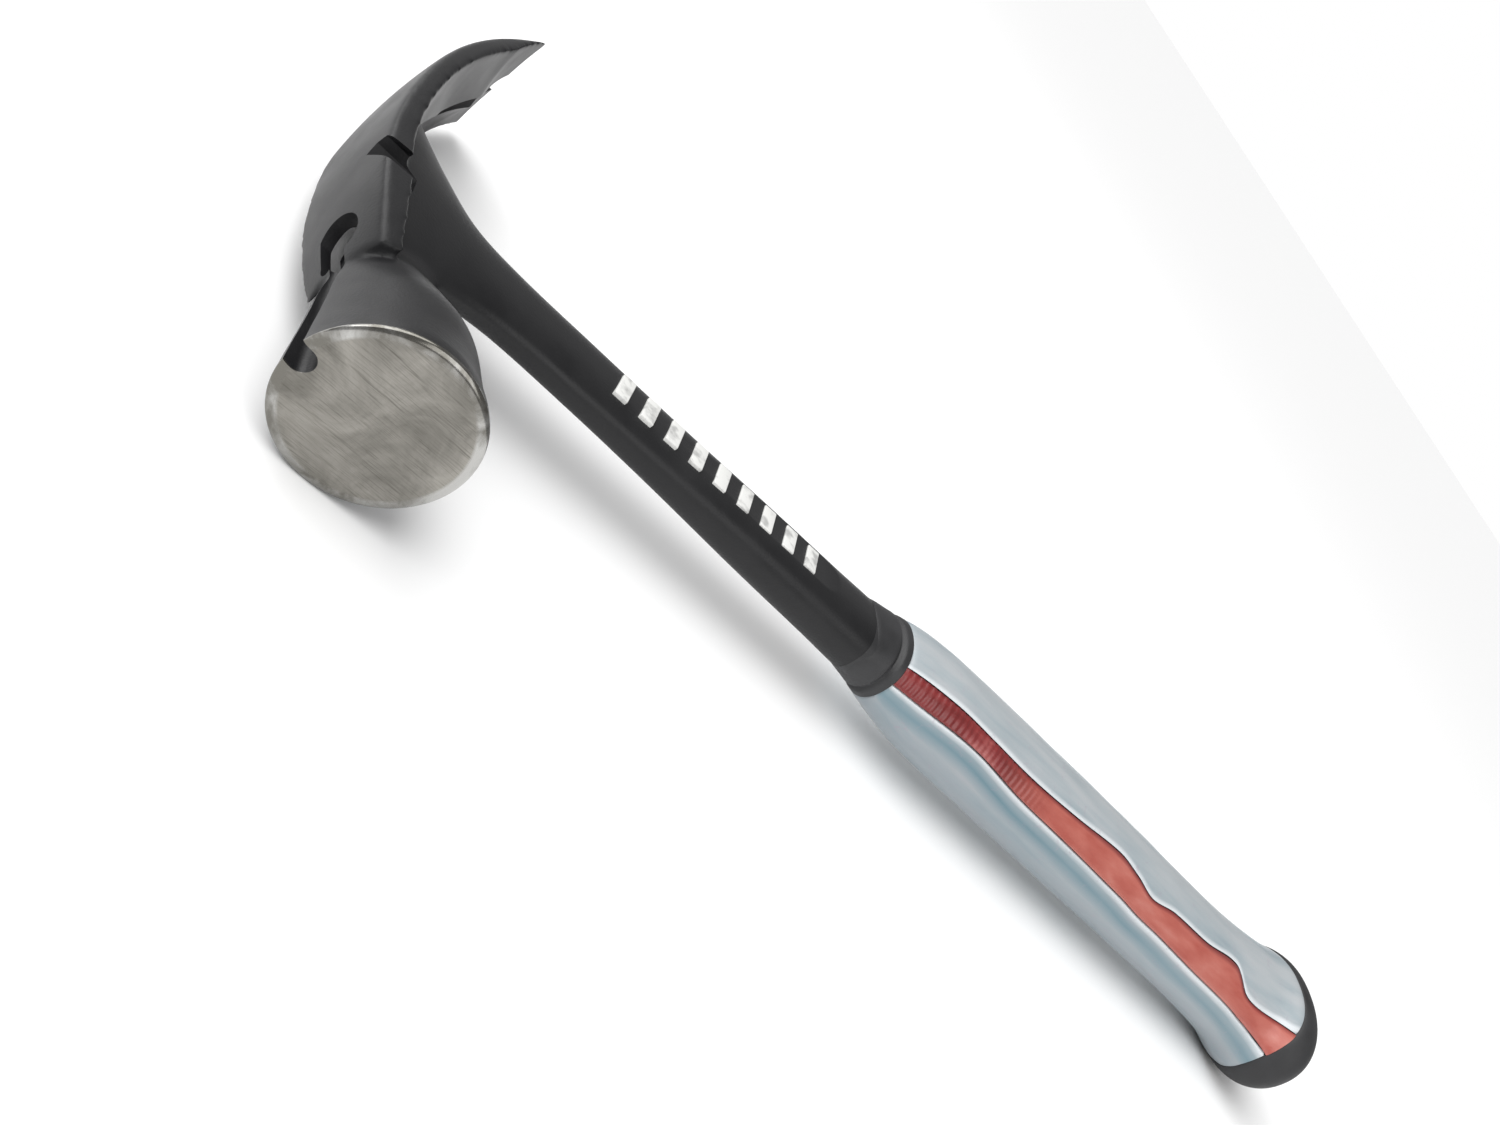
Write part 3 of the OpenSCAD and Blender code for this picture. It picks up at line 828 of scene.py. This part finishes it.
def buildFloor():
    bm = bmesh.new()
    bmesh.ops.create_circle(bm, cap_ends=True, segments=96, radius=studio["floor"])
    mesh = bpy.data.meshes.new("studioFloor")
    bm.to_mesh(mesh)
    bm.free()
    floor = bpy.data.objects.new("studioFloor", mesh)
    bpy.context.scene.collection.objects.link(floor)
    mat, tree, bsdf = nodeTree("paleFloor")
    bsdf.inputs["Base Color"].default_value = (0.96, 0.96, 0.96, 1)
    bsdf.inputs["Roughness"].default_value = 0.9
    floor.data.materials.append(mat)


def aimed(data, name, direction, distance=1.0):
    light = bpy.data.objects.new(name, data)
    bpy.context.scene.collection.objects.link(light)
    target = Vector((0, 0, 0.02))
    light.location = target + Vector(direction).normalized() * distance
    light.rotation_euler = (target - light.location).to_track_quat("-Z", "Y").to_euler()


def addSun(name, direction, strength, spread):
    data = bpy.data.lights.new(name, "SUN")
    data.energy = strength
    data.angle = math.radians(spread)
    aimed(data, name, direction)


def addSoftbox(name, direction, power):
    data = bpy.data.lights.new(name, "AREA")
    data.size = studio["boxSize"]
    data.energy = power
    aimed(data, name, direction, studio["boxDistance"])


camera = {
    "target": (-99.8, 9.2, -0.4), "distance": 0.350, "azimuth": 146.49, "elevation": 22.27, "roll": 56.86,
    "lens": 37.68, "sensor": 36,
}


def addCamera():
    data = bpy.data.cameras.new("camera")
    data.lens = camera["lens"]
    data.sensor_width = camera["sensor"]
    data.clip_start = 0.01
    data.clip_end = 50
    cam = bpy.data.objects.new("camera", data)
    bpy.context.scene.collection.objects.link(cam)
    a, e = math.radians(camera["azimuth"]), math.radians(camera["elevation"])
    back = Vector((math.sin(a) * math.cos(e), -math.cos(a) * math.cos(e), math.sin(e)))
    roll = Matrix.Rotation(math.radians(camera["roll"]), 4, "Z")
    turn = back.to_track_quat("Z", "Y").to_matrix().to_4x4() @ roll
    cam.matrix_world = Matrix.Translation(toRow @ Vector(camera["target"]) + back * camera["distance"]) @ turn
    bpy.context.scene.camera = cam


buildFloor()
addSun("keySun", (0.75, 0.15, 1.0), studio["key"], studio["spread"])
addSoftbox("rimSoftbox", (0.9, -0.9, 0.7), studio["rim"])
addSoftbox("fillSoftbox", (-0.3, 1.2, 0.7), studio["fill"])
addCamera()
# the backdrop looks white to the camera, but lights the hammer less
world = bpy.data.worlds.new("studio")
world.use_nodes = True
sky = world.node_tree
seen = add(sky, "LightPath")
backdrop = add(sky, "Background")
backdrop.inputs["Strength"].default_value = studio["backdrop"]
backdrop.inputs["Color"].default_value = (1, 1, 1, 1)
dome = sky.nodes["Background"]
dome.inputs["Color"].default_value = (1, 1, 1, 1)
dome.inputs["Strength"].default_value = studio["world"]
pick = add(sky, "MixShader")
sky.links.new(seen.outputs["Is Camera Ray"], pick.inputs[0])
sky.links.new(dome.outputs[0], pick.inputs[1])
sky.links.new(backdrop.outputs[0], pick.inputs[2])
sky.links.new(pick.outputs[0], sky.nodes["World Output"].inputs[0])
bpy.context.scene.world = world
bpy.context.scene.view_settings.view_transform = "Standard"
print("studio set")
